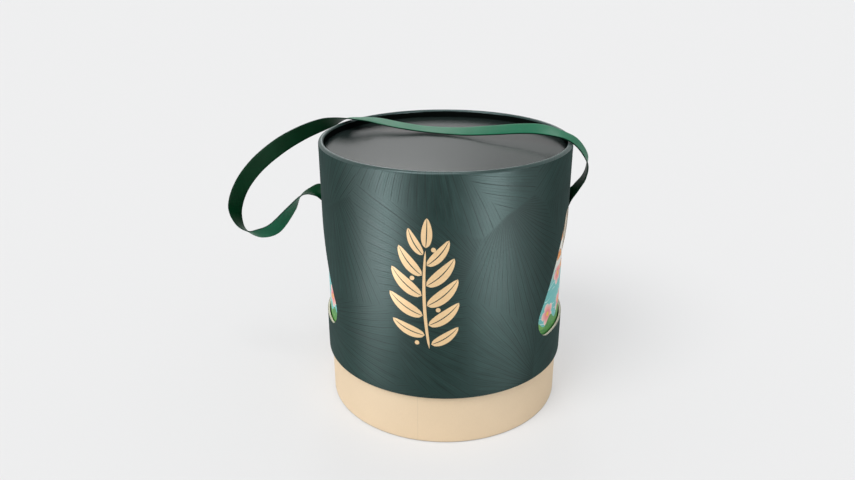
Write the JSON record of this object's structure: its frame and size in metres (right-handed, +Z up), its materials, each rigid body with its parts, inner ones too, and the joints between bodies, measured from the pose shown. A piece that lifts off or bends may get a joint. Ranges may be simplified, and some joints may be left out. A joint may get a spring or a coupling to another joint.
{
  "type": "gift box",
  "caption": "Round board gift box: a cover with a recessed top, side windows and a looped ribbon strap lifts off a printed barrel that holds the gifts.",
  "frame": {"origin": "centre of the flat underside, on the surface that the box stands on", "axes": "+Z up along the box's axis, -Y towards the front with the emblem, +X to the right as seen from the front"},
  "size_m": [0.3775, 0.244, 0.2779],
  "materials": {
    "dark_green_paper": "dark green wrapping paper with a fine tone-on-tone vein pattern and a low sheen",
    "panel_paper": "dark green wrapping paper with a soft sheen",
    "beige_paper": "matt beige paper",
    "printed_paper": "printed paper, turquoise with small motifs, slight sheen",
    "lining_paper": "plain cream paper, matt",
    "grey_board": "raw pale board, matt",
    "green_strap": "flat green ribbon with a fine satin sheen"
  },
  "bodies": {
    "barrel": {"barrel_board": "grey_board", "base_band_paper": "beige_paper", "barrel_print_paper": "printed_paper", "barrel_lining": "lining_paper", "bottom_board": "grey_board", "bottom_paper": "dark_green_paper", "floor_paper": "lining_paper"},
    "cover": {"cover_board": "grey_board", "cover_paper": "dark_green_paper", "rim_collar": "grey_board", "top_panel_board": "grey_board", "top_panel_paper": "panel_paper", "ceiling_paper": "lining_paper", "stop_ring": "grey_board", "strap_left_end": "green_strap", "strap_right_end": "green_strap"},
    "strap_span": {"strap_span": "green_strap"}
  },
  "joints": [
    {"name": "cover_lift", "type": "slide", "parent": "barrel", "child": "cover", "axis": [0, 0, 1], "range_m": [0, 0.25]},
    {"name": "strap_span_swing", "type": "hinge", "parent": "cover", "child": "strap_span", "pos_m": [-0.09626, 0.04856, 0.27324], "axis": [0.9862, -0.1656, 0.007], "range_deg": [0, 120]}
  ]
}
